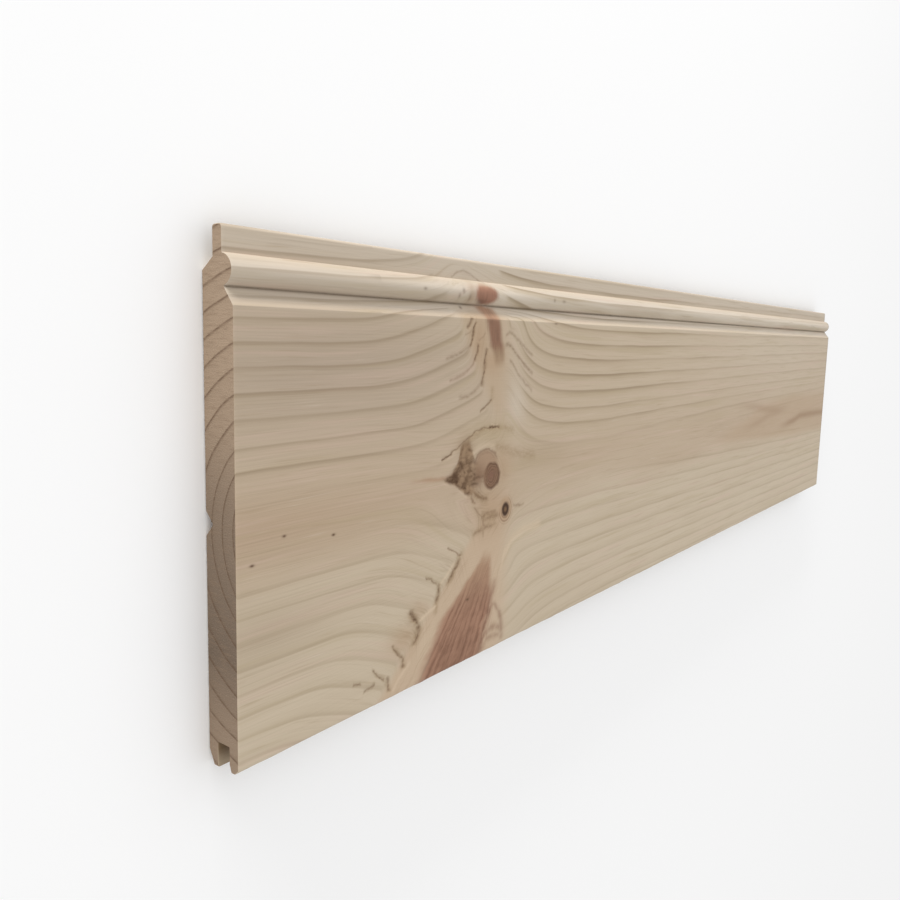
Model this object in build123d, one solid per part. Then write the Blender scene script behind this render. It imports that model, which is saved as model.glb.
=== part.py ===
"""Tongue-and-groove lining board with a V joint and a bead, machined from one length of pine.

The board lies on its back with the show face up. X runs along the grain, Y runs across the
board from the groove to the tongue, and Z is the thickness. The origin is under the middle
of the board, on the plane of its back.
"""

import os

from build123d import *

# Overall sizes, in millimetres
board_length = 600.0
cover_width = 134.6
board_thickness = 12.0

# Tongue, centred in the thickness
tongue_length = 6.9
tongue_thickness = 3.8
tongue_tip_radius = 1.0

# Groove, which takes the tongue of the next board
groove_side_clearance = 0.3
groove_end_clearance = 0.2
groove_mouth_flare = 0.8
groove_mouth_depth = 2.4
front_lip_bevel_depth = 1.7
front_lip_bevel_width = 1.5
back_lip_setback = 0.2
back_lip_bevel_depth = 2.0
back_lip_bevel_width = 4.2

# Bead and V beside the tongue, on the show face
bead_width = 8.2
bead_crest_drop = 0.4
v_depth = 3.4
v_width = 4.6

# Bevel behind the tongue, and the relief groove in the back
back_bevel_width = 3.2
back_bevel_inset = 0.9
relief_width = 6.4
relief_depth = 2.8
relief_root_radius = 0.5
relief_from_groove_edge = 66.1

# Eased edges where the show face ends
arris_radius = 0.4

# The tongue's tip keeps a flat between its two rounded corners
largest_tip_radius = 0.45 * tongue_thickness

# Places across the board
overall_width = cover_width + tongue_length
lip_y = -overall_width / 2
face_edge_y = lip_y + front_lip_bevel_width
shoulder_y = lip_y + cover_width
tip_y = shoulder_y + tongue_length
back_lip_y = lip_y + back_lip_setback
groove_floor_y = lip_y + tongue_length + groove_end_clearance
v_root_y = shoulder_y - bead_width
v_edge_y = v_root_y - v_width
bead_crest_y = shoulder_y - bead_width / 2
back_bevel_top_y = shoulder_y - back_bevel_inset
back_bevel_foot_y = back_bevel_top_y - back_bevel_width
relief_y = lip_y + relief_from_groove_edge

# Places through the thickness
middle_z = board_thickness / 2
tongue_back_z = middle_z - tongue_thickness / 2
tongue_face_z = middle_z + tongue_thickness / 2
groove_back_z = tongue_back_z - groove_side_clearance
groove_face_z = tongue_face_z + groove_side_clearance
v_root_z = board_thickness - v_depth
bead_crest_z = board_thickness - bead_crest_drop


def section():
    """The board's cross-section, drawn with Y to the right and Z up."""
    face_at_lip = (face_edge_y, board_thickness)
    face_at_v = (v_edge_y, board_thickness)
    v_root = (v_root_y, v_root_z)
    bead_crest = (bead_crest_y, bead_crest_z)
    tongue_root = (shoulder_y, tongue_face_z)
    tongue_tip_face = (tip_y, tongue_face_z)
    tongue_tip_back = (tip_y, tongue_back_z)
    relief_root = (relief_y, relief_depth)
    tongue_and_back = [
        tongue_root,
        tongue_tip_face,
        tongue_tip_back,
        (back_bevel_top_y, tongue_back_z),
        (back_bevel_foot_y, 0),
        (relief_y + relief_width / 2, 0),
        relief_root,
        (relief_y - relief_width / 2, 0),
    ]
    groove_edge = [
        (back_lip_y + back_lip_bevel_width, 0),
        (back_lip_y, back_lip_bevel_depth),
        (back_lip_y, groove_back_z),
        (groove_floor_y, groove_back_z),
        (groove_floor_y, groove_face_z),
        (lip_y + groove_mouth_depth, groove_face_z),
        (lip_y, groove_face_z + groove_mouth_flare),
        (lip_y, board_thickness - front_lip_bevel_depth),
        face_at_lip,
    ]
    with BuildSketch(Plane.YZ) as drawn:
        with BuildLine():
            Polyline(face_at_lip, face_at_v, v_root)
            ThreePointArc(v_root, bead_crest, tongue_root)
            Polyline(*tongue_and_back, *groove_edge)
        make_face()
        tip_corners = corners(drawn, tongue_tip_face, tongue_tip_back)
        fillet(tip_corners, min(tongue_tip_radius, largest_tip_radius))
        fillet(corners(drawn, face_at_lip, face_at_v), arris_radius)
        fillet(corners(drawn, relief_root), relief_root_radius)
    return drawn.sketch


def corners(drawn, *places):
    """The vertices of the drawn section that lie at these places."""
    return [drawn.vertices().sort_by_distance(place)[0] for place in places]


def lining_board():
    """The section run along the full length, equally to both sides of the middle."""
    return extrude(section(), amount=board_length / 2, both=True)


os.makedirs("parts", exist_ok=True)
export_step(lining_board(), "parts/lining_board.step")
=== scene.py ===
"""A planed pine lining board, lying on its back, dressed for a plain studio picture.

The board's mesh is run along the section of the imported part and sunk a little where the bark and
the cracks are. The wood is drawn by formulas over the board, in millimetres, in the part's own
frame: x along the grain, y from the groove to the tongue and z up out of the show face. A formula
works on shader nodes and on arrays alike, so that the mesh and the material share their shapes.
"""

import math

import bpy
import numpy as np
from mathutils import Matrix, Vector
from mathutils.geometry import delaunay_2d_cdt


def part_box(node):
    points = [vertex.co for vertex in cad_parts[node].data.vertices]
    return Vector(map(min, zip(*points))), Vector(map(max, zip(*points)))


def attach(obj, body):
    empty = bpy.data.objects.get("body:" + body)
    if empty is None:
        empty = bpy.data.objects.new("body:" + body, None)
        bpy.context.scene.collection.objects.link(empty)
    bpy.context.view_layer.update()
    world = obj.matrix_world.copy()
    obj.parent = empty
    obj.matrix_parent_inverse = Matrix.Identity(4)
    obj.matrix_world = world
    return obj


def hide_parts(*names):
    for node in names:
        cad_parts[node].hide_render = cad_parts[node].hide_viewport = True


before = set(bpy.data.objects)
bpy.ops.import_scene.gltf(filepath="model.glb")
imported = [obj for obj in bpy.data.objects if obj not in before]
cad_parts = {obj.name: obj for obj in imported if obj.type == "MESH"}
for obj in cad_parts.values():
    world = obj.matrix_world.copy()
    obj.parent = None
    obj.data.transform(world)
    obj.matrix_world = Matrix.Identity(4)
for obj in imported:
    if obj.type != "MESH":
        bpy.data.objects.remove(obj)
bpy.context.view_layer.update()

MM = 0.001
low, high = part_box("lining_board")
near_end, far_end = low.x / MM, high.x / MM
groove_edge, tongue_edge = low.y / MM, high.y / MM
face_height = high.z / MM

# The wood is drawn with the tongue's tip at this y, so drawn places are a little below the frame's own
drawn_tongue_tip = 70.0
drawn_shift = tongue_edge - drawn_tongue_tip

# Mesh spacing, in millimetres
face_step = 0.6
back_step = 3.0
whorl_step = 0.55
plain_step = 6.0
cap_step = 1.6
whorl_reach = (-246.0, -172.0)
whorl_zone = (-264.0, -146.0)

# The show side of that zone takes three materials, by bands across the board
whorl_bands = {"lower": (-80.0, -27.0), "middle": (-27.0, 17.0), "upper": (17.0, 80.0)}

# How far a mark shows beyond the places that it runs through
mark_reach = 3.0

# Relief, in millimetres
pocket_depth = 0.35
crack_depth = 0.22
crack_reach = 0.6
lip_wear = 0.3
end_easing = [(0.0, 0.22), (0.15, 0.08), (0.4, 0.0)]

# Room in the baked picture, in pixels a millimetre, and the picture's size
bake_size = 1024
bake_margin = 8
bake_along = [(-300.0, 1.2), (-246.0, 4.5), (-160.0, 1.2)]
bake_show, bake_back, bake_end = 4.2, 1.9, 3.0

# The pith, across the board and above the face, and the width of a ring outside and inside one radius
pith_across, pith_above = -7.0, 20.0
ring_radius, outer_ring, inner_ring = 30.0, 5.7, 4.2

# The camera, fitted to the corners of both ends of the board: metres, and millimetres for its lens
camera_place = (-0.4328, 0.04455, 0.1771)
camera_forward = (0.7951, -0.1336, -0.5916)
camera_up = (0.0932, 0.9908, -0.0984)
sensor_width, lens_length = 36.0, 33.49

# Studio, in metres and watts: greys for the floor as light meets it and as it is seen
floor_reach, floor_gap = 6.0, 0.0002
floor_grey, floor_seen_grey = (0.7, 0.7, 0.7, 1.0), (0.98, 0.98, 0.98, 1.0)
key_place, key_target = (-0.45, 1.2, 0.11), (-0.15, 0.0, 0.0)
key_size, key_power = (1.2, 0.2), 14.0
surround_strength, surround_seen = 0.905, 0.095

# Knots: the centre of each on the face, and its half sizes
round_knot_centre, round_knot_size = (-185.5, -5.2), (5.4, 4.9)
small_knot_centre, small_knot_size = (-175.7, -18.9), (2.15, 2.4)
knot_cap_centre, knot_cap_size = (-189.2, -0.4), (7.2, 5.2)

# The pocket of bark beside the round knot, by its upper and lower edges
pocket_top = [(-214.0, -3.0), (-211.0, -2.0), (-208.5, -0.4), (-206.6, 1.2), (-205.6, 3.4), (-205.0, 6.4),
              (-203.4, 8.2), (-200.6, 9.0), (-198.4, 7.4), (-197.6, 4.6), (-196.6, 2.0), (-193.0, 0.5)]
pocket_bottom = [(-214.0, -3.9), (-210.0, -5.2), (-207.0, -6.3), (-204.0, -8.2), (-201.0, -10.3),
                 (-199.2, -11.0), (-198.0, -10.0), (-196.0, -9.2), (-193.0, -8.0)]

# Cracks: half width, darkness, and the places that each runs through
cracks = [
    # Over the round knot
    (0.32, 0.75, [(-215.6, 3.3), (-214.0, 3.6), (-210.0, 5.4)]),
    (0.28, 0.42, [(-211.0, 5.0), (-205.0, 7.4), (-200.0, 9.8), (-196.0, 11.8), (-191.0, 12.4),
                  (-187.0, 12.4)]),
    (0.38, 0.95, [(-187.6, 12.7), (-186.0, 12.3), (-184.6, 12.1), (-183.0, 12.6), (-181.2, 12.3)]),
    # Where the rings break against the lower branch
    (0.34, 0.42, [(-211.0, -27.4), (-207.0, -28.9), (-204.8, -30.4), (-203.0, -31.0)]),
    (0.70, 0.46, [(-204.2, -32.8), (-205.6, -34.6), (-207.6, -36.2), (-210.0, -39.4)]),
    (0.34, 0.42, [(-222.6, -35.0), (-219.0, -36.6), (-216.4, -38.4)]),
    (0.60, 0.50, [(-215.1, -39.0), (-215.6, -42.0), (-216.6, -45.0)]),
    (0.90, 0.90, [(-230.0, -44.6), (-229.0, -46.4), (-228.0, -48.0), (-226.4, -49.2)]),
    (0.80, 0.55, [(-226.0, -49.6), (-225.9, -52.2), (-226.5, -54.4), (-228.2, -56.0)]),
    (0.42, 0.45, [(-238.8, -53.6), (-236.6, -56.4), (-234.0, -59.0)]),
    (0.55, 0.40, [(-233.8, -59.2), (-233.4, -62.4)]),
    (0.42, 0.50, [(-248.4, -58.4), (-246.0, -61.0), (-242.8, -63.3)]),
    (0.50, 0.44, [(-241.3, -63.2), (-240.4, -68.0)]),
    (0.36, 0.40, [(-257.0, -60.3), (-253.5, -61.6)]),
    (0.36, 0.40, [(-252.2, -64.5), (-247.4, -63.3)]),
    # Where the rings turn up beside the upper branch
    (0.50, 0.64, [(-200.6, 41.2), (-199.4, 44.8), (-198.7, 47.2), (-197.6, 49.0)]),
    (0.50, 0.52, [(-202.6, 46.8), (-201.2, 48.8), (-200.0, 50.3)]),
    (0.55, 0.62, [(-197.8, 35.8), (-196.6, 38.8), (-195.8, 41.6)]),
    (0.62, 0.60, [(-193.2, 27.4), (-192.3, 31.4), (-191.8, 34.2), (-191.1, 39.8)]),
    (0.42, 0.60, [(-193.8, 18.7), (-191.0, 19.4), (-188.8, 20.8), (-186.8, 22.4)]),
]

# Soft marks that lie in the surface: half width, strength, and the places that each runs through
brown_marks = [
    # Rings that turn up beside the upper branch
    (0.70, 0.42, [(-214.0, 36.6), (-207.0, 38.4), (-203.0, 39.8), (-200.2, 41.8)]),
    (0.70, 0.40, [(-212.0, 29.5), (-206.0, 31.0), (-201.0, 33.4), (-197.6, 36.2)]),
    (0.70, 0.40, [(-207.0, 23.6), (-201.0, 24.2), (-197.0, 25.8), (-193.2, 28.2)]),
    (0.40, 0.30, [(-204.0, 44.6), (-201.5, 45.4), (-199.4, 46.6)]),
    (0.45, 0.30, [(-196.0, 43.0), (-193.6, 44.1), (-192.0, 45.6)]),
    (0.45, 0.35, [(-207.0, 63.6), (-204.0, 65.4), (-200.0, 66.0), (-195.0, 65.0), (-190.0, 62.8)]),
    # Rings that hook over and leave the upper branch to the right
    (0.75, 0.42, [(-178.9, 45.2), (-177.0, 46.0), (-175.0, 45.7), (-172.0, 44.0), (-166.0, 40.6),
                  (-160.0, 37.6)]),
    (0.80, 0.55, [(-179.2, 41.2), (-177.0, 41.8), (-175.0, 41.0), (-172.0, 38.6), (-166.0, 34.2),
                  (-160.0, 30.9)]),
    (0.80, 0.40, [(-176.0, 36.0), (-174.0, 34.8), (-170.0, 31.2), (-165.0, 27.4), (-160.0, 24.4)]),
    # Threads of bark below the round knot
    (0.70, 0.62, [(-198.0, -9.0), (-197.6, -11.0), (-196.9, -13.0), (-195.4, -13.9)]),
    (0.80, 0.60, [(-196.2, -10.2), (-193.2, -12.2), (-190.2, -12.9), (-187.6, -13.6)]),
    (0.45, 0.45, [(-195.2, -9.4), (-191.4, -11.5), (-187.4, -13.6)]),
    (0.60, 0.45, [(-195.8, -15.4), (-193.8, -17.2), (-191.0, -19.2), (-189.9, -21.4), (-189.4, -23.2)]),
    (0.65, 0.30, [(-189.8, -23.0), (-190.1, -26.6)]),
    (0.70, 0.38, [(-191.4, -19.6), (-187.2, -18.4), (-182.0, -18.6)]),
    (0.60, 0.35, [(-189.0, -20.6), (-184.4, -20.2), (-180.0, -20.6)]),
    (0.60, 0.42, [(-195.6, -24.8), (-192.0, -24.2), (-188.6, -23.4), (-184.4, -23.9)]),
    # Beside the knots
    (0.60, 0.50, [(-170.4, -18.2), (-166.0, -18.9), (-162.4, -18.6)]),
    (0.45, 0.40, [(-196.8, 0.4), (-195.0, 2.4), (-192.0, 3.9), (-188.0, 4.3)]),
]
# Bands that arch over to the right of the lower branch
arches = [
    (1.70, 0.60, [(-188.3, -61.3), (-185.6, -57.0), (-183.4, -54.2), (-181.6, -53.0)]),
    (1.50, 0.62, [(-181.8, -53.0), (-180.2, -54.6), (-178.0, -57.6), (-176.4, -62.0), (-175.6, -68.6)]),
    (1.50, 0.60, [(-190.4, -68.8), (-188.8, -65.6), (-186.6, -63.6), (-183.0, -62.4), (-176.6, -64.0)]),
    (1.20, 0.50, [(-188.6, -69.0), (-186.0, -66.6), (-181.6, -65.8), (-176.6, -66.6)]),
    (1.60, 0.50, [(-181.2, -44.4), (-182.4, -47.6), (-184.8, -52.0), (-187.4, -57.0)]),
]
olive_marks = [
    (1.30, 0.40, [(-187.0, 22.0), (-186.6, 24.0), (-186.8, 26.8)]),
    # Olive-brown bands along the broken rings
    (1.60, 0.55, [(-203.0, -29.6), (-204.4, -32.6), (-207.0, -36.0), (-210.6, -40.2)]),
    (1.30, 0.55, [(-215.4, -38.6), (-216.0, -42.0), (-217.0, -48.6)]),
    (1.80, 0.55, [(-230.0, -44.6), (-228.4, -48.0), (-226.2, -51.6), (-228.0, -56.2)]),
    (1.40, 0.45, [(-238.0, -54.4), (-234.4, -58.6), (-233.4, -63.0)]),
    (1.30, 0.40, [(-247.0, -60.2), (-242.4, -63.2), (-240.2, -68.4)]),
    # Threads below the knots
    (1.90, 0.70, [(-198.4, -9.6), (-194.4, -11.6), (-191.0, -12.6), (-187.6, -13.8)]),
    (1.20, 0.60, [(-197.6, -11.0), (-196.6, -13.4), (-195.2, -14.4)]),
    (2.10, 0.60, [(-191.4, -19.0), (-188.0, -19.8), (-184.0, -20.4), (-181.4, -20.2)]),
    (1.40, 0.50, [(-196.6, -24.8), (-191.0, -23.6), (-186.0, -22.8), (-181.0, -23.8)]),
    # Round the upper side of the knots
    (1.10, 0.45, [(-204.0, 7.0), (-199.0, 9.4), (-193.0, 11.6), (-187.0, 12.0), (-180.0, 12.0),
                  (-171.5, 10.4)]),
    (1.90, 0.45, [(-184.0, 5.0), (-178.0, 4.0), (-172.0, 2.0), (-164.0, 0.6), (-156.0, -0.6)]),
]
# The first four run beside cracks and are painted highlights on their lips; the other two are paler wood
pale_wood_and_lip_highlights = [
    (0.70, 0.60, [(-225.2, -49.2), (-222.0, -47.6), (-219.0, -46.3), (-216.8, -45.6)]),
    (0.80, 0.50, [(-215.0, -39.4), (-212.6, -37.4), (-210.4, -35.6), (-206.6, -33.0)]),
    (0.80, 0.45, [(-239.0, -68.5), (-235.0, -65.0), (-229.6, -61.6)]),
    (0.35, 0.55, [(-187.0, 13.4), (-184.4, 12.9), (-182.4, 13.5)]),
    (0.90, 0.25, [(-199.0, 3.0), (-195.0, 5.4), (-189.0, 6.5), (-184.0, 6.0)]),
    (2.00, 0.50, [(-177.5, -40.0), (-175.0, -35.0), (-170.5, -31.2), (-163.0, -28.8), (-150.0, -28.4)]),
]

# Specks: strength, centre and half sizes
plain_specks = [
    (0.85, (-284.0, -9.8), (0.7, 0.4)),
    (0.95, (-265.5, -12.7), (0.7, 0.4)),
    (0.90, (-295.0, -15.7), (0.8, 0.4)),
    (0.40, (-144.4, 58.8), (0.8, 0.7)),
    (0.40, (-137.0, 58.7), (1.4, 0.6)),
    (0.50, (-143.4, 49.9), (1.2, 0.4)),
]
whorl_specks = [
    (0.80, (-198.6, -48.0), (0.8, 0.45)),
    (0.50, (-262.0, 20.4), (2.2, 0.35)),
    (0.60, (-203.6, 53.7), (0.8, 0.5)),
    (0.45, (-225.0, 58.7), (0.9, 0.5)),
    (0.45, (-204.6, 59.2), (0.8, 0.9)),
    (0.40, (-206.6, 57.4), (0.7, 0.9)),
    (0.40, (-200.6, 57.0), (0.7, 1.2)),
]

# Dark lines in the bark: half width, strength, and the places that each runs through
bark_marks = [
    (1.25, 0.95, [(-211.6, -3.6), (-207.0, -4.8), (-203.5, -6.7), (-200.2, -9.0)]),
    (1.00, 0.80, [(-211.0, -2.9), (-208.0, -2.8), (-205.4, -3.4)]),
    (0.75, 0.70, [(-206.2, -1.8), (-205.0, 0.0), (-204.4, 2.2)]),
    (0.60, 0.55, [(-204.6, 2.6), (-203.4, 5.2), (-203.0, 7.0)]),
    (0.60, 0.55, [(-203.8, 0.6), (-202.6, -1.4), (-201.4, -2.6)]),
    (0.60, 0.55, [(-199.8, 5.8), (-198.6, 5.0), (-197.6, 5.4)]),
    (0.60, 0.65, [(-198.4, -1.8), (-196.8, -3.0), (-195.8, -3.8)]),
    (0.55, 0.60, [(-197.0, -5.4), (-194.0, -4.8), (-190.8, -4.9)]),
    (0.55, 0.50, [(-198.8, -7.6), (-196.0, -7.0), (-193.6, -7.6)]),
]


# Section and mesh

def section_loop(node, end_x):
    """The board's outline at one end, as (y, z) in millimetres, anticlockwise seen from +X."""
    mesh = node.data
    mesh.calc_loop_triangles()
    place = [tuple(round(c / MM, 3) for c in v.co) for v in mesh.vertices]
    open_edges = set()
    for triangle in mesh.loop_triangles:
        corners = [place[i] for i in triangle.vertices]
        if any(abs(c[0] - end_x) > 0.01 for c in corners):
            continue
        for a, b in zip(corners, corners[1:] + corners[:1]):
            if (b, a) in open_edges:
                open_edges.remove((b, a))
            else:
                open_edges.add((a, b))
    following = dict(open_edges)
    loop = [min(following)]
    while following[loop[-1]] != loop[0]:
        loop.append(following[loop[-1]])
    points = np.array([c[1:] for c in loop])
    ahead = np.roll(points, -1, axis=0)
    area = np.sum(points[:, 0] * ahead[:, 1] - ahead[:, 0] * points[:, 1])
    return points if area > 0 else np.roll(points[::-1], 1, axis=0)


def refined(loop):
    """The outline with long runs divided, finely on the show side."""
    points = []
    for a, b in zip(loop, np.roll(loop, -1, axis=0)):
        on_show_side = min(a[1], b[1]) > face_height / 2
        step = face_step if on_show_side else back_step
        count = max(1, math.ceil(np.linalg.norm(b - a) / step))
        points += [a + (b - a) * i / count for i in range(count)]
    return np.array(points)


def outward(loop):
    """The direction out of the section at each point of its outline."""
    ahead = np.roll(loop, -1, axis=0) - loop
    ahead /= np.linalg.norm(ahead, axis=1, keepdims=True)
    run = ahead + np.roll(ahead, 1, axis=0)
    run /= np.linalg.norm(run, axis=1, keepdims=True)
    return np.stack([run[:, 1], -run[:, 0]], axis=1)


def columns():
    """Places along the board for the mesh's cross-sections, close together at the branches and the ends."""
    start, stop = whorl_reach
    ends = np.array([0.0, 0.15, 0.4, 1.5, 3.5])
    runs = [
        near_end + ends,
        np.arange(near_end + plain_step, start, plain_step),
        np.arange(start, stop, whorl_step),
        np.arange(stop, far_end - plain_step / 2, plain_step),
        far_end - ends[::-1],
    ]
    return np.concatenate(runs)


def sunk(x, y):
    """How far the show face lies below its plane."""
    x, y = ragged(x, y)
    wide = [(max(half_width, crack_reach), darkness, points) for half_width, darkness, points in cracks]
    return larger(bark_pocket(x, y) * pocket_depth, strongest(x, y, wide) * crack_depth)


def worn_lip(x, y):
    """How far the thin edge beside the groove is worn back."""
    wear = sine(x * 0.21 + sine(x * 0.083) * 2.0) * 0.35 + sine(x * 0.57) * 0.15 + 0.5
    return wear * rise(y, groove_edge + 0.8, groove_edge) * lip_wear


def end_cap(loop):
    """Even triangles over the section: the places inside its outline, and the corners of each triangle."""
    across = np.arange(groove_edge + 1.0, tongue_edge, cap_step)
    up = np.arange(1.2, face_height, cap_step)
    inner = np.stack(np.meshgrid(across, up), axis=-1).reshape(-1, 2)
    run = np.roll(loop, -1, axis=0) - loop
    part = np.sum((inner[:, None] - loop) * run, axis=-1) / np.sum(run * run, axis=-1)
    nearest = loop + run * np.clip(part, 0.0, 1.0)[..., None]
    gap = np.linalg.norm(inner[:, None] - nearest, axis=-1).min(axis=1)
    inner = inner[gap > 0.7]
    spots = [Vector(spot) for spot in np.concatenate([loop, inner])]
    edges = [(j, (j + 1) % len(loop)) for j in range(len(loop))]
    triangles, sources = delaunay_2d_cdt(spots, edges, [], 1, 1e-6)[2:4]
    turned = []
    for triangle in triangles:
        a, b, c = [sources[corner][0] for corner in triangle]
        anticlockwise = (spots[b] - spots[a]).cross(spots[c] - spots[a]) > 0
        turned.append((a, b, c) if anticlockwise else (c, b, a))
    return inner, turned


def board_mesh():
    """The section run along the board, with its relief, closed by a flat cap at each end."""
    loop = refined(section_loop(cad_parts["lining_board"], near_end))
    along = columns()
    rows, count = len(loop), len(along)
    easing = curve(np.minimum(along - near_end, far_end - along), end_easing)
    eased = loop[None] - outward(loop)[None] * easing[:, None, None]
    x = np.repeat(along, rows)
    y, z = eased.reshape(-1, 2).T
    on_face = np.tile(loop[:, 1] > face_height - 0.01, count)
    on_lip = np.tile(loop[:, 1] > face_height * 0.6, count)
    z = z - sunk(x, y - drawn_shift) * on_face
    y = y + worn_lip(x, y) * on_lip
    faces = []
    for i in range(count - 1):
        for j in range(rows):
            k = (j + 1) % rows
            faces.append((i * rows + j, i * rows + k, (i + 1) * rows + k, (i + 1) * rows + j))
    sides = len(faces)
    inner, cap = end_cap(loop)
    places = [np.stack([x, y, z], axis=1)]
    for end_x, first, turn in ((near_end, 0, -1), (far_end, (count - 1) * rows, 1)):
        inside = sum(len(group) for group in places)
        names = np.concatenate([np.arange(first, first + rows), np.arange(inside, inside + len(inner))])
        faces += [tuple(names[list(triangle)][::turn]) for triangle in cap]
        places.append(np.column_stack([np.full(len(inner), end_x), inner]))
    places = np.concatenate(places)
    mesh = bpy.data.meshes.new("planed_board")
    mesh.from_pydata((places * MM).tolist(), [], faces)
    in_zone = (along[:-1] > whorl_zone[0]) & (along[1:] < whorl_zone[1])
    on_show_side = np.minimum(loop[:, 1], np.roll(loop[:, 1], -1)) > face_height / 2
    materials = np.full(len(faces), 1, dtype=np.int32)
    across = (loop[:, 0] + np.roll(loop[:, 0], -1)) / 2 - drawn_shift
    band = np.searchsorted([start for start, stop in whorl_bands.values()], across)
    materials[:sides] = np.where(in_zone[:, None] & on_show_side, band + 1, 0).ravel()
    mesh.polygons.foreach_set("material_index", materials)
    mesh.shade_smooth()
    mesh.set_sharp_from_angle(angle=math.radians(35))
    cap_corners = places[np.array(faces[sides:])]
    flat = mesh.uv_layers.new(name="OFBake")
    flat.data.foreach_set("uv", laid_flat(loop, along, cap_corners))
    return mesh


def laid_flat(loop, along, cap_corners):
    """Where each corner of the mesh goes in a flat picture of the board, with most room for the branches."""
    rows, count = len(loop), len(along)
    starts = [start for start, scale in bake_along] + [far_end]
    scales = [scale for start, scale in bake_along]
    reached = np.concatenate([[0.0], np.cumsum(np.diff(starts) * scales)])
    u = np.interp(along, starts, reached) + bake_margin
    ahead = np.roll(loop, -1, axis=0)
    show_side = np.minimum(loop[:, 1], ahead[:, 1]) > face_height / 2
    lengths = np.linalg.norm(ahead - loop, axis=1) * np.where(show_side, bake_show, bake_back)
    v = np.concatenate([[0.0], np.cumsum(lengths)]) + bake_margin
    i, j = np.meshgrid(np.arange(count - 1), np.arange(rows), indexing="ij")
    corners = [(i, j), (i, j + 1), (i + 1, j + 1), (i + 1, j)]
    sides = np.stack([np.stack([u[a], v[b]], axis=-1) for a, b in corners], axis=2)
    x, y, z = cap_corners.reshape(-1, 3).T
    beside = (tongue_edge - groove_edge) * bake_end + bake_margin
    end_u = (y - groove_edge) * bake_end + bake_margin + np.where(x > 0, beside, 0.0)
    ends = np.column_stack([end_u, z * bake_end + v[-1] + bake_margin])
    return np.concatenate([sides.reshape(-1, 2), ends]).ravel() / bake_size


# Formulas, as shader nodes or on arrays

class Field:
    """A number that varies over the board: a node socket that takes ordinary arithmetic."""

    tree = None
    board_point = None

    def __init__(self, socket):
        self.socket = socket

    def __add__(self, other):
        return formula("ADD", self, other)

    def __sub__(self, other):
        return formula("SUBTRACT", self, other)

    def __rsub__(self, other):
        return formula("SUBTRACT", other, self)

    def __mul__(self, other):
        return formula("MULTIPLY", self, other)

    def __truediv__(self, other):
        return formula("DIVIDE", self, other)

    def __rtruediv__(self, other):
        return formula("DIVIDE", other, self)

    __radd__ = __add__
    __rmul__ = __mul__


# The steps of arithmetic that arrays take by name, for the mesh
on_arrays = {
    "MAXIMUM": np.maximum,
    "MINIMUM": np.minimum,
    "ABSOLUTE": np.abs,
    "SQRT": np.sqrt,
    "EXPONENT": np.exp,
    "SINE": np.sin,
}


def feed(node, inputs):
    """Sets or links a node's inputs, given in order or by name."""
    for key, value in inputs:
        if isinstance(value, Field):
            Field.tree.links.new(value.socket, node.inputs[key])
        elif hasattr(value, "node"):
            Field.tree.links.new(value, node.inputs[key])
        else:
            node.inputs[key].default_value = value


def formula(operation, *values):
    """One step of arithmetic."""
    if not any(isinstance(value, Field) for value in values):
        return on_arrays[operation](*values)
    node = Field.tree.nodes.new("ShaderNodeMath")
    node.operation = operation
    feed(node, enumerate(values))
    return Field(node.outputs[0])


def larger(a, b):
    return formula("MAXIMUM", a, b)


def smaller(a, b):
    return formula("MINIMUM", a, b)


def size_of(a):
    return formula("ABSOLUTE", a)


def square(a):
    return a * a


def root(a):
    return formula("SQRT", a)


def sine(a):
    return formula("SINE", a)


def part_of_whole(a):
    return formula("FRACT", a)


def bell(value, width):
    """1 where the value is 0, dying away smoothly at about the width on both sides."""
    return formula("EXPONENT", square(value) * (-1.0 / width ** 2))


def hump(value, width):
    """1 where the value is 0 and a half at the width, with a long tail."""
    return 1.0 / (square(value / width) + 1.0)


def above_zero(value, softness):
    """The value where it is above 0, and 0 below, with the corner between them rounded off."""
    return (value + root(square(value) + softness * softness)) * 0.5


def rise(value, start, end):
    """0 at the start and 1 at the end, smooth between; it also runs from a higher start to a lower end."""
    if not isinstance(value, Field):
        part = np.clip((value - start) / (end - start), 0.0, 1.0)
        return part * part * (3.0 - 2.0 * part)
    node = Field.tree.nodes.new("ShaderNodeMapRange")
    node.interpolation_type = "SMOOTHSTEP"
    feed(node, [("Value", value), ("From Min", start), ("From Max", end)])
    return Field(node.outputs["Result"])


def curve(value, points):
    """The height of a line of straight runs through these points, in order of their first number."""
    if not isinstance(value, Field):
        return np.interp(value, [p[0] for p in points], [p[1] for p in points])
    node = Field.tree.nodes.new("ShaderNodeFloatCurve")
    node.mapping.use_clip = False
    node.mapping.extend = "HORIZONTAL"
    line = node.mapping.curves[0].points
    line[0].location = points[0]
    line[1].location = points[-1]
    for point in points[1:-1]:
        line.new(*point)
    for point in line:
        point.handle_type = "VECTOR"
    node.mapping.update()
    feed(node, [("Value", value)])
    return Field(node.outputs[0])


def spread(sizes, shift=0.0):
    """The board's own place divided by these sizes along x, y and z; an axis with no size stays at 0."""
    node = Field.tree.nodes.new("ShaderNodeMapping")
    scales = [1.0 / size if size else 0.0 for size in sizes]
    node.inputs["Scale"].default_value = [scale / MM for scale in scales]
    node.inputs["Location"].default_value = (shift, -drawn_shift * scales[1], 0.0)
    Field.tree.links.new(Field.board_point, node.inputs["Vector"])
    return node.outputs[0]


def noise(sizes, detail=2.0, shift=0.0, across=None):
    """Smooth random values, mostly from -1 to 1, with lumps of about these sizes along x, y and z.

    They also vary with a formula across the grain where one is given, over about 1 of it."""
    spot = spread(sizes, shift)
    node = Field.tree.nodes.new("ShaderNodeTexNoise")
    feed(node, [("Vector", spot), ("Scale", 1.0), ("Detail", detail), ("Roughness", 0.55)])
    if across is not None:
        node.noise_dimensions = "4D"
        feed(node, [("W", across)])
    return (Field(node.outputs[0]) - 0.5) * 5.0


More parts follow.
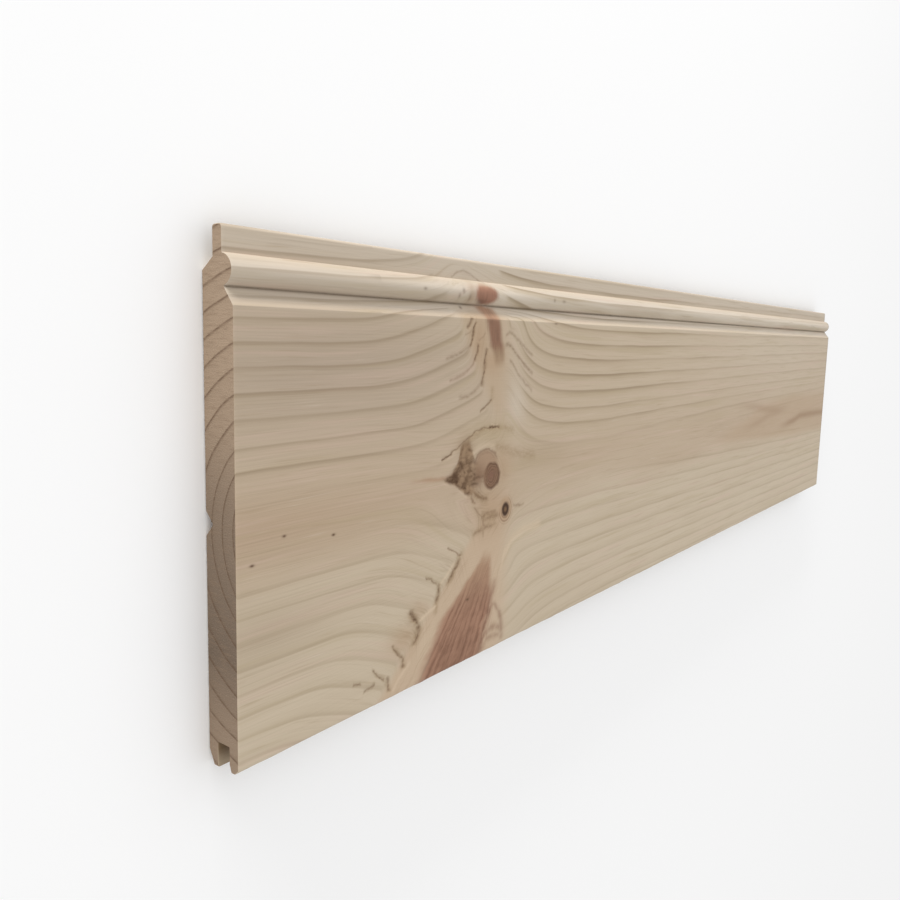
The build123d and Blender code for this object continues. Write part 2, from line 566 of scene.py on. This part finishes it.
def patch(x, y, centre, reach):
    """A soft oval spot."""
    across = square(x - centre[0]) * (-1.0 / reach[0] ** 2)
    return formula("EXPONENT", across - square(y - centre[1]) * (1.0 / reach[1] ** 2))


def wandering(x, y, size, amount):
    """x and y shifted smoothly by up to about this amount, so that shapes drawn there look grown."""
    spot = spread((size, size, size))
    node = Field.tree.nodes.new("ShaderNodeTexNoise")
    feed(node, [("Vector", spot), ("Scale", 1.0), ("Detail", 2.0)])
    split = Field.tree.nodes.new("ShaderNodeSeparateColor")
    Field.tree.links.new(node.outputs["Color"], split.inputs[0])
    return [value + (Field(split.outputs[i]) - 0.5) * (7.0 * amount) for i, value in enumerate((x, y))]


def oval(x, y, centre, half_sizes):
    """Distance from the centre of an oval, as a share of its half size: 1 on its rim."""
    return root(square((x - centre[0]) / half_sizes[0]) + square((y - centre[1]) / half_sizes[1]))


def stroke(x, y, points, half_width, fade=None):
    """1 along a line of straight runs, dying away at the half width and, over the fade, at both ends."""
    runs_along_x = abs(points[-1][0] - points[0][0]) > abs(points[-1][1] - points[0][1])
    along, across = (x, y) if runs_along_x else (y, x)
    line = sorted(points if runs_along_x else [(b, a) for a, b in points])
    middle = (line[0][0] + line[-1][0]) / 2
    half_length = (line[-1][0] - line[0][0]) / 2
    fade = fade or half_width
    ends = rise(size_of(along - middle), half_length + fade, half_length - fade)
    return bell(across - curve(along, line), half_width) * ends


def strongest(x, y, marks):
    """The strongest of these marks, each given by its half width, its strength and its places."""
    most = 0.0
    for half_width, strength, points in marks:
        most = larger(stroke(x, y, points, half_width) * strength, most)
    return most


def strongest_spot(x, y, spots):
    """The strongest of these soft spots, each given by its strength, its centre and its reach."""
    most = 0.0
    for strength, centre, reach in spots:
        most = larger(patch(x, y, centre, reach) * strength, most)
    return most


def reaching(marks, band):
    """Those of these marks that come into a band across the board."""
    start, stop = band[0] - mark_reach, band[1] + mark_reach
    kept = []
    for mark in marks:
        heights = [y for x, y in mark[2]]
        if min(heights) < stop and max(heights) > start:
            kept.append(mark)
    return kept


def srgb(red, green, blue):
    """A colour as it shows on screen, for a shader socket."""
    def linear(c):
        c = c / 255
        return c / 12.92 if c <= 0.04045 else ((c + 0.055) / 1.055) ** 2.4
    return (linear(red), linear(green), linear(blue), 1.0)


def mixed(under, over, amount):
    """One colour laid over another."""
    node = Field.tree.nodes.new("ShaderNodeMix")
    node.data_type = "RGBA"
    feed(node, [(0, amount), (6, under), (7, over)])
    return node.outputs[2]


# Shapes on the face

def ragged(x, y):
    """A place nudged by a fraction of a millimetre, so that lines drawn there look torn and not ruled."""
    return (
        x + sine(y * 1.1 + sine(x * 0.9) * 1.6) * 0.25 + sine(y * 3.7 + x * 2.1) * 0.07,
        y + sine(x * 1.0 + sine(y * 1.1) * 1.5) * 0.25 + sine(x * 3.5 - y * 2.3) * 0.07,
    )


def bark_pocket(x, y):
    """1 inside the pocket of bark."""
    over_bottom = rise(y - curve(x, pocket_bottom), -0.8, 1.2)
    under_top = rise(curve(x, pocket_top) - y, -1.0, 1.8)
    return over_bottom * under_top * rise(x, -192.5, -199.5) * rise(x, -217.0, -211.0)


def upper_gap(x, y):
    """How far a place is to the left of the line where the rings turn up beside the upper branch."""
    return -189.0 - (y - 20.0) * 0.65 - x


def lower_gap(x, y):
    """How far a place is to the left of the line where the rings break against the lower branch."""
    return y * 1.1 - 170.4 - x


def branch_wood(x, y):
    """1 where the branches crowd out the rings."""
    upper = rise(upper_gap(x, y), 2.0, -2.0) * rise(x, -176.0, -180.0) * rise(y, 10.0, 18.0)
    lower = rise(lower_gap(x, y), 1.5, -2.5) * rise(x, -172.0, -180.0) * rise(y, -10.0, -18.0)
    round_the_knots = rise(oval(x, y, (-187.0, -5.0), (26.0, 15.5)), 1.25, 0.85)
    return larger(larger(upper, lower), round_the_knots)


# Growth rings

def whorl_lift(x, y):
    """How far the growth rings are pushed outward beside the branches."""
    gap = upper_gap(x, y)
    left = above_zero(40.0 - gap, 12.0) * 0.24 + above_zero(gap * -1.0, 3.0) * 0.8
    beside = x + 178.5 - above_zero(y - 42.0, 3.0) * 0.5
    right = hump(larger(beside, 0.0), 14.0) * 18.5 + larger(beside * -1.0, 0.0)
    upper = smaller(left, right)
    over_bead = hump(x + 187.0 + (y - 50.0), 18.0) * 10.0
    upper = upper + (over_bead - upper) * rise(y, 50.5, 55.0)
    gap = lower_gap(x, y)
    left = above_zero(38.0 - gap, 12.0) * 0.28 + above_zero(gap * -1.0, 2.0) * 0.6
    beside = x + 178.0
    right = hump(larger(beside, 0.0), larger(-16.0 - y * 0.6, 4.0)) * 10.0 + larger(beside * -1.0, 0.0)
    lower = smaller(left, right)
    return lower + (upper - lower) * rise(y, -12.0, -2.0)


def grain(place):
    """The growth ring that a place is in, counted from the pith above the show face, and its fibre there."""
    x, y, z = place
    sway = noise((160.0, 45.0, 45.0), 1.0) * 0.35 + noise((26.0, 9.0, 9.0), 1.0, 7.0) * 0.2
    up = y - pith_across + sway
    side = larger(size_of(up) - whorl_lift(x, y), 0.0)
    above = (face_height + pith_above) - larger(x + 100.0, 0.0) * 0.0215 - z
    beyond = root(square(side) + square(above)) - ring_radius
    rings = larger(beyond, 0.0) / outer_ring + smaller(beyond, 0.0) / inner_ring + 20.0
    parted = 1.0 - 62.0 / (square(x + 187.0) + square(y + 4.6) + 6.0)
    round_knot = up * parted * patch(x, y, (-188.0, -6.0), (36.0, 22.0))
    return rings, side + round_knot + rise(y, -7.3, -6.7) * 90.0


def latewood(rings):
    """The end of each year's ring: a broad band that darkens outward, and the thin dark line that ends it."""
    part = part_of_whole(rings)
    edge = rise(part, 1.0, 0.92)
    return rise(part, 0.3, 0.94) * edge, rise(part, 0.72, 0.93) * edge


# Wood, from the sound timber to the last crack; each lays its own colours over what is there

def sound_wood(place):
    """Planed timber with its tints, streaks, fibres and rings, and painted light and shade along the V and
    the bead.
    """
    x, y, z = place
    rings, fibre_line = grain(place)
    band, line = latewood(rings)
    broad = noise((110.0, 22.0, 22.0), 2.0, 11.0)
    across = [(-70.0, 0.12), (-40.0, 0.12), (-26.0, 0.22), (-15.0, 0.72), (-4.0, 0.85),
              (8.0, 0.62), (30.0, 0.48), (50.0, 0.3), (70.0, 0.3)]
    colour = mixed(srgb(196, 181, 158), srgb(182, 161, 137), curve(y + broad * 2.0, across) + broad * 0.1)
    # Painted light: the V, the bead and the tongue paler and greyer, as the light falls on them
    colour = mixed(colour, srgb(195, 183, 167), rise(y, 49.0, 52.0) * 0.7)
    # Painted highlight on the V's lower slope and the bead up to its crest
    colour = mixed(colour, srgb(222, 211, 196), rise(y, 51.4, 52.4) * rise(y, 62.0, 59.5) * 0.62)
    # Painted shade on the lower slope of the bead, just above the root of the V
    painted_bead_shade = bell(y - 56.5, 1.7) * rise(z, 8.0, 8.6)
    colour = mixed(colour, srgb(146, 128, 95), painted_bead_shade * (rise(broad, -0.8, 0.6) * 0.3 + 0.25))
    # Painted shade: a thin dark line along the root of the V
    colour = mixed(colour, srgb(84, 68, 50), bell(y - 54.85, 0.4) * rise(z, 7.9, 8.3) * 0.6)
    tints = [
        (srgb(168, 151, 133), 0.75, (-268.0, 36.0), (80.0, 22.0)),
        (srgb(174, 150, 125), 0.60, (-294.0, -8.0), (60.0, 8.0)),
        (srgb(172, 155, 132), 0.60, (-292.0, -36.0), (26.0, 9.0)),
        (srgb(200, 187, 170), 0.60, (-170.0, 19.0), (7.0, 10.0)),
        (srgb(173, 153, 127), 0.70, (-152.0, -2.0), (22.0, 5.0)),
        (srgb(202, 188, 170), 0.35, (170.0, 36.0), (140.0, 20.0)),
    ]
    for tint, amount, centre, reach in tints:
        colour = mixed(colour, tint, patch(x, y, centre, reach) * amount)
    streak = noise((75.0, None, 2.6), 2.0, 13.0, fibre_line / 2.6)
    colour = mixed(colour, srgb(174, 157, 126), rise(streak, 0.1, 1.2) * 0.36)
    colour = mixed(colour, srgb(199, 174, 157), rise(streak, -0.1, -1.2) * 0.36)
    fibre = noise((34.0, None, 0.55), 2.0, 5.0, fibre_line / 0.55)
    colour = mixed(colour, srgb(118, 98, 76), rise(fibre, -0.1, 1.3) * 0.13)
    dash = noise((24.0, None, 1.2), 2.0, 17.0, fibre_line / 1.2)
    colour = mixed(colour, srgb(152, 130, 100), rise(dash, 0.35, 1.5) * 0.34)
    colour = mixed(colour, srgb(206, 192, 174), rise(dash, -0.5, -1.5) * 0.34)
    strength = rise(noise((70.0, None, None), 1.0, 3.0, rings * 1.08), -1.2, 0.8) * 0.6 + 0.4
    strength = strength * (1.0 - branch_wood(x, y) * rise(z, 6.0, 8.0))
    strength = strength * larger(rise(size_of(y - pith_across), 5.0, 12.0), rise(x, -60.0, 60.0) * 0.4)
    strong = rise(x, -186.0, -168.0) * rise(x, 60.0, -120.0) * rise(y, 3.0, 16.0)
    hooks = rise(x, -162.0, -172.0) * rise(x, -184.0, -180.0) * rise(y, 6.0, 12.0) * rise(y, 49.0, 46.0)
    strength = strength * (1.0 - hooks * 0.9)
    left = rise(x, -170.0, -192.0) * rise(y, -6.0, 12.0)
    colour = mixed(colour, srgb(158, 139, 108), band * strength * (strong * 0.34 + 0.18))
    line = line * strength * (strong * 0.34 + left * 0.2 + 0.17)
    return mixed(colour, srgb(122, 101, 77), line), fibre, fibre_line


def heart_streaks(colour, x, y):
    """Brown wood near the pith, towards the far end."""
    top = [(20.0, -11.0), (60.0, -7.5), (100.0, -3.0), (130.0, 6.0), (200.0, 10.0), (300.0, 8.0)]
    bottom = [(20.0, -12.5), (60.0, -16.0), (100.0, -17.5), (140.0, -20.0), (200.0, -23.0), (300.0, -25.0)]
    inside = rise(y - curve(x, bottom), -1.0, 4.0) * rise(curve(x, top) - y, -2.0, 6.0) * rise(x, 16.0, 90.0)
    colour = mixed(colour, srgb(178, 153, 126), inside * 0.5)
    bands = [
        (2.6, 0.35, [(96.0, 5.2), (122.0, 3.4), (140.0, 1.2), (178.0, -1.2)]),
        (2.6, 0.28, [(106.0, -9.4), (132.0, -6.5), (150.0, -3.6), (186.0, -1.6)]),
        (2.4, 0.70, [(190.0, -13.0), (214.0, -11.0), (230.0, -8.8), (262.0, -9.0), (320.0, -10.0)]),
    ]
    for half_width, strength, points in bands:
        colour = mixed(colour, srgb(150, 122, 94), stroke(x, y, points, half_width, 24.0) * strength)
    return colour


def painted_far_edge_shade(colour, x, y):
    """Painted shade: a thin dark edge along the face at the far end, where the edge turns from the light."""
    edge = rise(x, far_end - 2.4, far_end - 0.6) * rise(y, -50.0, -30.0)
    return mixed(colour, srgb(110, 92, 72), edge * 0.5)


def disturbed_wood(colour, fibre_line, x, y):
    """Brown threads in the wood between the knots and beside the branches."""
    thread = noise((9.0, None, 2.0), 2.0, 81.0, fibre_line / 0.9)
    stained = [
        (0.60, (-193.0, -6.0), (15.0, 9.0)),
        (0.50, (-187.0, -20.0), (15.0, 6.5)),
        (0.35, (-190.0, 9.0), (18.0, 4.5)),
        (0.45, (-197.0, 43.0), (5.5, 9.0)),
        (0.40, (-228.0, -50.0), (9.0, 8.0)),
        (0.40, (-209.0, -35.0), (8.0, 6.0)),
    ]
    return mixed(colour, srgb(132, 106, 79), rise(thread, -0.3, 1.2) * strongest_spot(x, y, stained))


def collar(colour, x, y):
    """The pale, pink and brown wood that swells round the branches."""
    below = rise(lower_gap(x, y), 1.0, -5.0) * rise(x, -168.0, -182.0) * rise(y, -8.0, -24.0)
    colour = mixed(colour, srgb(191, 167, 141), below * 0.8)
    above = rise(upper_gap(x, y), 1.0, -6.0) * rise(x, -172.0, -185.0) * rise(y, 8.0, 22.0)
    colour = mixed(colour, srgb(182, 160, 134), above * rise(y, 55.0, 50.0) * 0.8)
    tan = [
        (0.70, (-195.5, 43.0), (5.0, 9.0)),
        (0.75, (-187.0, 36.0), (7.0, 5.0)),
        (0.80, (-186.0, -17.0), (12.0, 11.0)),
        (0.65, (-179.0, -3.0), (7.0, 9.0)),
        (0.60, (-233.0, -53.0), (8.0, 5.0)),
        (0.50, (-226.0, -46.0), (5.5, 4.0)),
    ]
    colour = mixed(colour, srgb(175, 148, 120), strongest_spot(x, y, tan))
    colour = mixed(colour, srgb(176, 157, 127), patch(x, y, (-186.0, 10.5), (17.0, 4.5)) * 0.75)
    colour = mixed(colour, srgb(156, 131, 104), patch(x, y, (-202.0, 6.5), (5.0, 4.0)) * 0.7)
    return mixed(colour, srgb(197, 176, 150), patch(x, y, (-222.0, -58.0), (5.0, 8.0)) * 0.7)


def soft_marks(colour, x, y, uneven, band):
    """Marks in the surface round the branches, smudged and broken; the pale ones beside the cracks are
    painted highlights.
    """
    broken = rise(uneven, -0.9, 0.6)
    olive = strongest(x, y, reaching(olive_marks, band))
    colour = mixed(colour, srgb(146, 122, 90), olive * (broken * 0.6 + 0.4))
    # Pale wood, with painted highlights on the lips of the cracks
    colour = mixed(colour, srgb(208, 187, 160), strongest(x, y, reaching(pale_wood_and_lip_highlights, band)))
    brown = strongest(x, y, reaching(brown_marks, band))
    return mixed(colour, srgb(114, 87, 62), brown * (broken * 0.45 + 0.55))


def lower_branch(colour, x, y):
    """The branch that runs out across the lower half, cut lengthwise into red stripes."""
    fan = (x + 167.0) / smaller(y + 4.0, -20.0)
    stripes = [(0.20, 0.5), (0.24, 0.1), (0.28, 0.6), (0.32, 0.15), (0.36, 0.7), (0.40, 0.2), (0.43, 0.8),
               (0.455, 0.3), (0.485, 0.9), (0.515, 0.3), (0.55, 0.9), (0.58, 0.4), (0.615, 0.85), (0.65, 0.5),
               (0.69, 0.8), (0.72, 0.45), (0.755, 0.9), (0.79, 0.2), (0.82, 0.9), (0.85, 0.15), (0.885, 0.8),
               (0.91, 0.1)]
    threads = noise((None, 11.0, 9.0), 2.0, 21.0, fan * 44.0)
    beside = rise(lower_gap(x, y), 0.0, -4.0) * rise(x, -174.0, -182.0) * rise(y, -28.0, -36.0)
    colour = mixed(colour, srgb(158, 131, 104), rise(threads, 0.0, 1.4) * beside * 0.4)
    mottle = noise((None, 3.2, 9.0), 2.0, 25.0, fan * 20.0)
    dark = curve(fan + threads * 0.005 + mottle * 0.006, stripes) * 0.75 + threads * 0.28 + mottle * 0.22
    frayed = fan + threads * 0.014 + mottle * 0.014
    steep_side = rise(x + mottle * 0.5, -182.6, -186.4)
    right = steep_side + (rise(frayed, 0.27, 0.41) - steep_side) * rise(y, -42.0, -52.0)
    tip = rise(y + smaller(square(x + 189.0) * 0.06, 4.0) + mottle * 0.7, -30.5, -38.5)
    left_edge = [(-69.0, 0.90), (-64.0, 0.93), (-58.0, 0.955), (-52.0, 0.975), (-47.0, 0.94),
                 (-41.0, 0.88), (-36.0, 0.80)]
    inside = rise(frayed - curve(y, left_edge), 0.05, -0.08) * right * tip
    low_down = rise(y, -33.0, -56.0)
    red = mixed(srgb(169, 137, 110), srgb(158, 119, 96), low_down)
    red = mixed(red, srgb(100, 63, 44), rise(dark, -0.1, 1.1) * (low_down * 0.62 + 0.2))
    arched = strongest(x, y, arches) * (rise(mottle, -1.0, 0.8) * 0.5 + 0.5)
    colour = mixed(colour, srgb(136, 104, 84), arched)
    return mixed(colour, red, inside * 0.96)


def upper_branch(colour, x, y):
    """The thin branch that runs out over the V and the bead."""
    middle = [(33.0, -182.4), (38.0, -183.0), (41.0, -184.5), (45.0, -185.8), (50.0, -187.2), (55.0, -190.0)]
    half_width = [(33.0, 2.2), (38.0, 3.2), (41.0, 3.9), (45.0, 3.8), (50.0, 4.2), (55.0, 5.2)]
    threads = noise((0.7, 6.0, 6.0), 3.0, 31.0)
    side = size_of(x - curve(y, middle)) / curve(y, half_width) + threads * 0.14
    wood = mixed(srgb(152, 125, 97), srgb(134, 98, 77), rise(y, 37.5, 42.5))
    # Painted light: the branch's wood paler down the V's slope, as the light falls on it
    wood = mixed(wood, srgb(176, 140, 114), rise(y, 49.6, 51.2) * 0.8)
    wood = mixed(wood, srgb(100, 71, 55), rise(threads, -0.6, 1.2) * 0.45)
    on_face = rise(side, 1.5, 0.5) * rise(y, 32.6, 36.8) * (rise(y, 36.0, 41.0) * 0.3 + 0.7)
    colour = mixed(colour, wood, on_face * rise(y, 55.2, 53.8) * 0.95)
    smear = patch(x, y, (-199.6, 58.6), (2.6, 3.4)) * 0.6
    colour = mixed(colour, srgb(160, 134, 108), smear)
    rim = oval(x, y, (-190.8, 58.6), (6.8, 3.6)) + threads * 0.07
    # Darker at the lower left on the bead's lower slope: partly the mark's own darker wood, partly painted
    # shade
    red = mixed(srgb(150, 106, 84), srgb(96, 64, 48), patch(x, y, (-194.0, 55.8), (4.6, 1.4)) * 0.8)
    red = mixed(red, srgb(104, 72, 55), rise(threads, -0.5, 1.2) * 0.4)
    # Painted highlight: the mark paler along the bead's upper slope
    red = mixed(red, srgb(184, 150, 124), rise(y, 60.0, 62.4) * 0.6)
    return mixed(colour, red, rise(rim, 1.22, 0.72) * rise(y, 54.6, 55.4) * 0.95)


def knot_cap(colour, x, y, uneven):
    """The brown wood of the main branch, over the round knot and out to the bark."""
    rim = oval(x, y, knot_cap_centre, knot_cap_size) + uneven * 0.05
    colour = mixed(colour, srgb(160, 132, 107), rise(rim, 1.2, 0.75) * 0.9)
    colour = mixed(colour, srgb(118, 92, 70), bell(rim - 1.0, 0.08) * rise(y, -0.5, 2.5) * 0.55)
    colour = mixed(colour, srgb(128, 102, 79), bell(rim - 0.8, 0.06) * rise(y, 0.0, 2.5) * 0.3)
    return mixed(colour, srgb(130, 102, 79), patch(x, y, (-194.0, -4.6), (5.0, 4.4)) * 0.95)


def bark(colour, x, y):
    """Bark caught between the branch and the trunk, with the reddish streak that leads to it."""
    streak = [(-228.0, -1.8), (-220.0, -2.4), (-209.0, -3.2)]
    colour = mixed(colour, srgb(166, 135, 108), stroke(x, y, streak, 0.8, 7.0) * 0.75)
    smoke = noise((3.6, 2.4, 3.0), 3.0, 41.0)
    brown = mixed(srgb(92, 67, 45), srgb(152, 125, 98), rise(smoke, -1.1, 1.1))
    brown = mixed(brown, srgb(156, 130, 102), rise(y, 1.0, 6.0) * 0.5)
    inside = bark_pocket(x, y) * 0.92
    colour = mixed(colour, brown, inside)
    ragged_dark = strongest(x, y, bark_marks) * (rise(smoke, 1.0, -0.7) * 0.7 + 0.3)
    return mixed(colour, srgb(76, 52, 33), ragged_dark), smoke


def round_knot(colour, place, x, y):
    """The knot of the main branch, cut across, with its own rings."""
    deep = face_height - place[2]
    wave = noise((4.0, 4.0, 4.0), 1.0, 51.0)
    flaw = noise((1.7, 1.3, 1.7), 2.0, 55.0)
    rim = oval(x - deep * 0.3, y + deep * 0.15, round_knot_centre, round_knot_size)
    rim = rim + wave * 0.06 + flaw * 0.02
    part = part_of_whole(rim * 4.4 + wave * 0.35)
    ring = rise(part, 0.15, 0.6) * rise(part, 1.0, 0.75) * (rise(flaw, -1.0, 0.9) * 0.7 + 0.3)
    ring = ring * rise(x, -193.0, -188.0)
    swirl = ring * rise(rim, 2.0, 1.0) * rise(x, -190.0, -184.0)
    colour = mixed(colour, srgb(140, 112, 86), swirl * 0.22)
    wood = mixed(srgb(130, 100, 76), srgb(124, 91, 72), bell(rim, 0.5))
    wood = mixed(wood, srgb(84, 57, 40), ring * rise(rim, 0.05, 0.4) * 0.7)
    wood = mixed(wood, srgb(158, 130, 106), rise(flaw, 0.2, 1.4) * 0.35)
    wood = mixed(wood, srgb(84, 57, 40), bell(rim - 0.93, 0.1) * rise(x, -191.0, -186.0) * 0.6)
    return mixed(colour, wood, rise(rim, 1.14, 0.86) * (rise(x, -193.0, -188.5) * 0.6 + 0.4))


def small_knot(colour, x, y, uneven):
    """The dark pin knot, with the rings that bend round its lower side."""
    rim = oval(x, y, small_knot_centre, small_knot_size) + uneven * 0.03
    part = part_of_whole(rim * 1.9 + 0.1)
    arcs = rise(part, 0.25, 0.65) * rise(part, 1.0, 0.7) * rise(rim, 2.6, 2.0)
    arcs = arcs * larger(rise(y, -17.0, -21.0), rise(x, -175.0, -172.0) * 0.8)
    colour = mixed(colour, srgb(172, 142, 112), rise(rim, 2.5, 1.3) * 0.7)
    colour = mixed(colour, srgb(128, 100, 74), arcs * 0.6)
    colour = mixed(colour, srgb(66, 43, 25), rise(rim, 1.4, 0.8))
    return mixed(colour, srgb(118, 89, 61), rise(rim, 0.66, 0.1) * 0.9)


def specks(colour, x, y, spots):
    """Pin specks and short dashes."""
    return mixed(colour, srgb(84, 58, 40), strongest_spot(x, y, spots))


def open_cracks(colour, x, y, uneven, band):
    """The cracks in one band of the face, each in a soft brown edging."""
    mark = strongest(x, y, reaching(cracks, band))
    colour = mixed(colour, srgb(136, 110, 80), formula("POWER", mark, 0.3) * 0.5)
    return mixed(colour, srgb(88, 62, 40), mark * (rise(uneven, -0.9, 0.8) * 0.6 + 0.4))


def groove_shade(colour, y, z):
    """Painted shade inside the groove, darker towards its bottom."""
    inside = rise(z, 3.5, 3.75) * rise(z, 9.1, 8.7) * rise(y, -63.9, -64.3)
    return mixed(colour, srgb(112, 87, 56), inside * (rise(y, -71.0, -66.0) * 0.5 + 0.35))


def planed_pine():
    """Sound planed pine, for every long surface away from the branches."""
    material, shader = new_material("planed_pine")
    place = board_place()
    x, y, z = place
    colour, fibre = sound_wood(place)[:2]
    colour = heart_streaks(colour, x, y)
    # Painted shade along the face's far edge
    colour = painted_far_edge_shade(colour, x, y)
    colour = specks(colour, x, y, plain_specks)
    colour = round_knot(colour, place, x, y)
    colour = groove_shade(colour, y, z)
    feed(shader, [("Base Color", colour), ("Roughness", 0.62 + fibre * 0.03), ("Specular IOR Level", 0.2)])
    feed(shader, [("Normal", bumped(planing_ridges() * 0.008))])
    return material


def knotty_pine(part, band):
    """The same pine where the whorl of branches comes through the show side, in one band across the board."""
    material, shader = new_material("knotty_pine_" + part)
    place = board_place()
    x, y = place[:2]
    torn_x, torn_y = ragged(x, y)
    grown_x, grown_y = wandering(x, y, 5.0, 0.25)
    uneven = noise((1.8, 1.3, 1.5), 2.0, 71.0)
    colour, fibre, fibre_line = sound_wood(place)
    roughness = 0.62 + fibre * 0.03
    height = planing_ridges() * 0.008
    colour = collar(colour, x, y)
    colour = disturbed_wood(colour, fibre_line, x, y)
    if part == "lower":
        colour = lower_branch(colour, grown_x, grown_y)
    colour = soft_marks(colour, grown_x, grown_y, uneven, band)
    if part == "upper":
        colour = upper_branch(colour, grown_x, grown_y)
    if part == "middle":
        colour = knot_cap(colour, grown_x, grown_y, uneven)
        colour, smoke = bark(colour, grown_x, grown_y)
        colour = small_knot(colour, x, y, uneven)
        in_bark = bark_pocket(torn_x, torn_y)
        roughness = roughness + in_bark * 0.2
        height = height + smoke * in_bark * 0.07
    colour = specks(colour, x, y, whorl_specks)
    colour = open_cracks(colour, torn_x, torn_y, uneven, band)
    if part == "middle":
        colour = round_knot(colour, place, x, y)
    feed(shader, [("Base Color", colour), ("Roughness", roughness), ("Specular IOR Level", 0.2)])
    feed(shader, [("Normal", bumped(height))])
    return material


def planing_ridges():
    """Faint ridges along the grain."""
    return noise((40.0, 0.6, 0.6), 1.0, 5.0)


def pine_end():
    """Sawn end grain, darker than the face partly in its own colour and partly as painted shade, with its
    rings and pores.
    """
    material, shader = new_material("pine_end_grain")
    place = board_place()
    band, line = latewood(grain(place)[0])
    pores = noise((0.4, 0.4, 0.4), 2.0, 2.0)
    rays = noise((3.0, 0.9, 5.0), 2.0, 61.0)
    # Darkest about a third of the way up from the groove, lighter towards the tongue and a little lighter at
    # the groove
    tone = [(-70.0, 0.35), (-58.0, 0.5), (-40.0, 1.0), (-20.0, 0.85), (0.0, 0.65), (20.0, 0.15), (40.0, 0.0)]
    colour = mixed(srgb(174, 151, 128), srgb(118, 102, 87), curve(place[1], tone))
    colour = mixed(colour, srgb(140, 118, 97), rise(rays, -0.4, 1.4) * 0.45)
    ring_end = square(line) * (rise(rays, 1.2, -0.8) * 0.45 + 0.25)
    colour = mixed(colour, srgb(96, 72, 52), ring_end + band * 0.08)
    colour = mixed(colour, srgb(92, 74, 58), rise(pores, 0.2, 1.4) * 0.3)
    colour = mixed(colour, srgb(196, 178, 157), rise(pores, -0.4, -1.4) * 0.3)
    height = pores * 0.03 + rays * 0.015 - line * 0.02
    feed(shader, [("Base Color", colour), ("Roughness", 0.8), ("Specular IOR Level", 0.2)])
    feed(shader, [("Normal", bumped(height))])
    return material


def board_place():
    """x, y and z over the board, in millimetres, as the wood is drawn."""
    node = Field.tree.nodes.new("ShaderNodeTexCoord")
    split = Field.tree.nodes.new("ShaderNodeSeparateXYZ")
    Field.board_point = node.outputs["Object"]
    Field.tree.links.new(Field.board_point, split.inputs[0])
    x, y, z = [Field(split.outputs[i]) / MM for i in range(3)]
    return x, y - drawn_shift, z


def bumped(height):
    """The surface's direction with this fine relief on it, in millimetres."""
    node = Field.tree.nodes.new("ShaderNodeBump")
    feed(node, [("Strength", 1.0), ("Distance", MM), ("Height", height)])
    return node.outputs[0]


def new_material(name):
    """An empty material with one shader, which new formulas then belong to."""
    material = bpy.data.materials.new(name)
    material.use_nodes = True
    Field.tree = material.node_tree
    return material, material.node_tree.nodes["Principled BSDF"]


# The board in the scene

board = bpy.data.objects.new("pine_board", board_mesh())
bpy.context.scene.collection.objects.link(board)
board.data.materials.append(planed_pine())
board.data.materials.append(pine_end())
for part, band in whorl_bands.items():
    board.data.materials.append(knotty_pine(part, band))
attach(board, "root")
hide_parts("lining_board")


# Studio

def floor():
    """A pale floor that shows white and keeps the board's shadow."""
    mesh = bpy.data.meshes.new("studio_floor")
    turns = [(-1, -1), (1, -1), (1, 1), (-1, 1)]
    corners = [(a * floor_reach, b * floor_reach, low.z - floor_gap) for a, b in turns]
    mesh.from_pydata(corners, [], [(0, 1, 2, 3)])
    piece = bpy.data.objects.new("studio_floor", mesh)
    bpy.context.scene.collection.objects.link(piece)
    material, shader = new_material("pale_floor")
    colour = mixed(floor_grey, floor_seen_grey, seen_directly())
    feed(shader, [("Base Color", colour), ("Roughness", 0.95), ("Specular IOR Level", 0.0)])
    piece.data.materials.append(material)


def seen_directly():
    """1 for what the camera sees, also in gloss and through glass."""
    path = Field.tree.nodes.new("ShaderNodeLightPath")
    seen = larger(Field(path.outputs["Is Camera Ray"]), Field(path.outputs["Is Glossy Ray"]))
    return larger(seen, Field(path.outputs["Is Transmission Ray"]))


def key_light():
    """A wide soft lamp that looks at the board's near half."""
    lamp = bpy.data.lights.new("key", "AREA")
    lamp.shape = "RECTANGLE"
    lamp.size, lamp.size_y = key_size
    lamp.energy = key_power
    light = bpy.data.objects.new("key", lamp)
    light.location = key_place
    towards = Vector(key_place) - Vector(key_target)
    light.rotation_euler = towards.to_track_quat("Z", "Y").to_euler()
    bpy.context.scene.collection.objects.link(light)


def surroundings():
    """Even white light, and a white background behind the floor."""
    world = bpy.data.worlds.new("studio")
    bpy.context.scene.world = world
    world.use_nodes = True
    Field.tree = world.node_tree
    background = world.node_tree.nodes["Background"]
    strength = surround_strength + seen_directly() * surround_seen
    feed(background, [("Color", (1, 1, 1, 1)), ("Strength", strength)])


def camera():
    """A camera that sees the board as the photograph does, with the tongue at the top."""
    lens = bpy.data.cameras.new("camera")
    lens.sensor_width = sensor_width
    lens.lens = lens_length
    lens.clip_start = 0.01
    forward = Vector(camera_forward).normalized()
    right = forward.cross(Vector(camera_up)).normalized()
    up = right.cross(forward)
    turn = Matrix((right, up, -forward)).transposed()
    eye = bpy.data.objects.new("camera", lens)
    eye.matrix_world = Matrix.Translation(camera_place) @ turn.to_4x4()
    bpy.context.scene.collection.objects.link(eye)
    bpy.context.scene.camera = eye


floor()
key_light()
surroundings()
camera()
bpy.context.scene.view_settings.view_transform = "Standard"
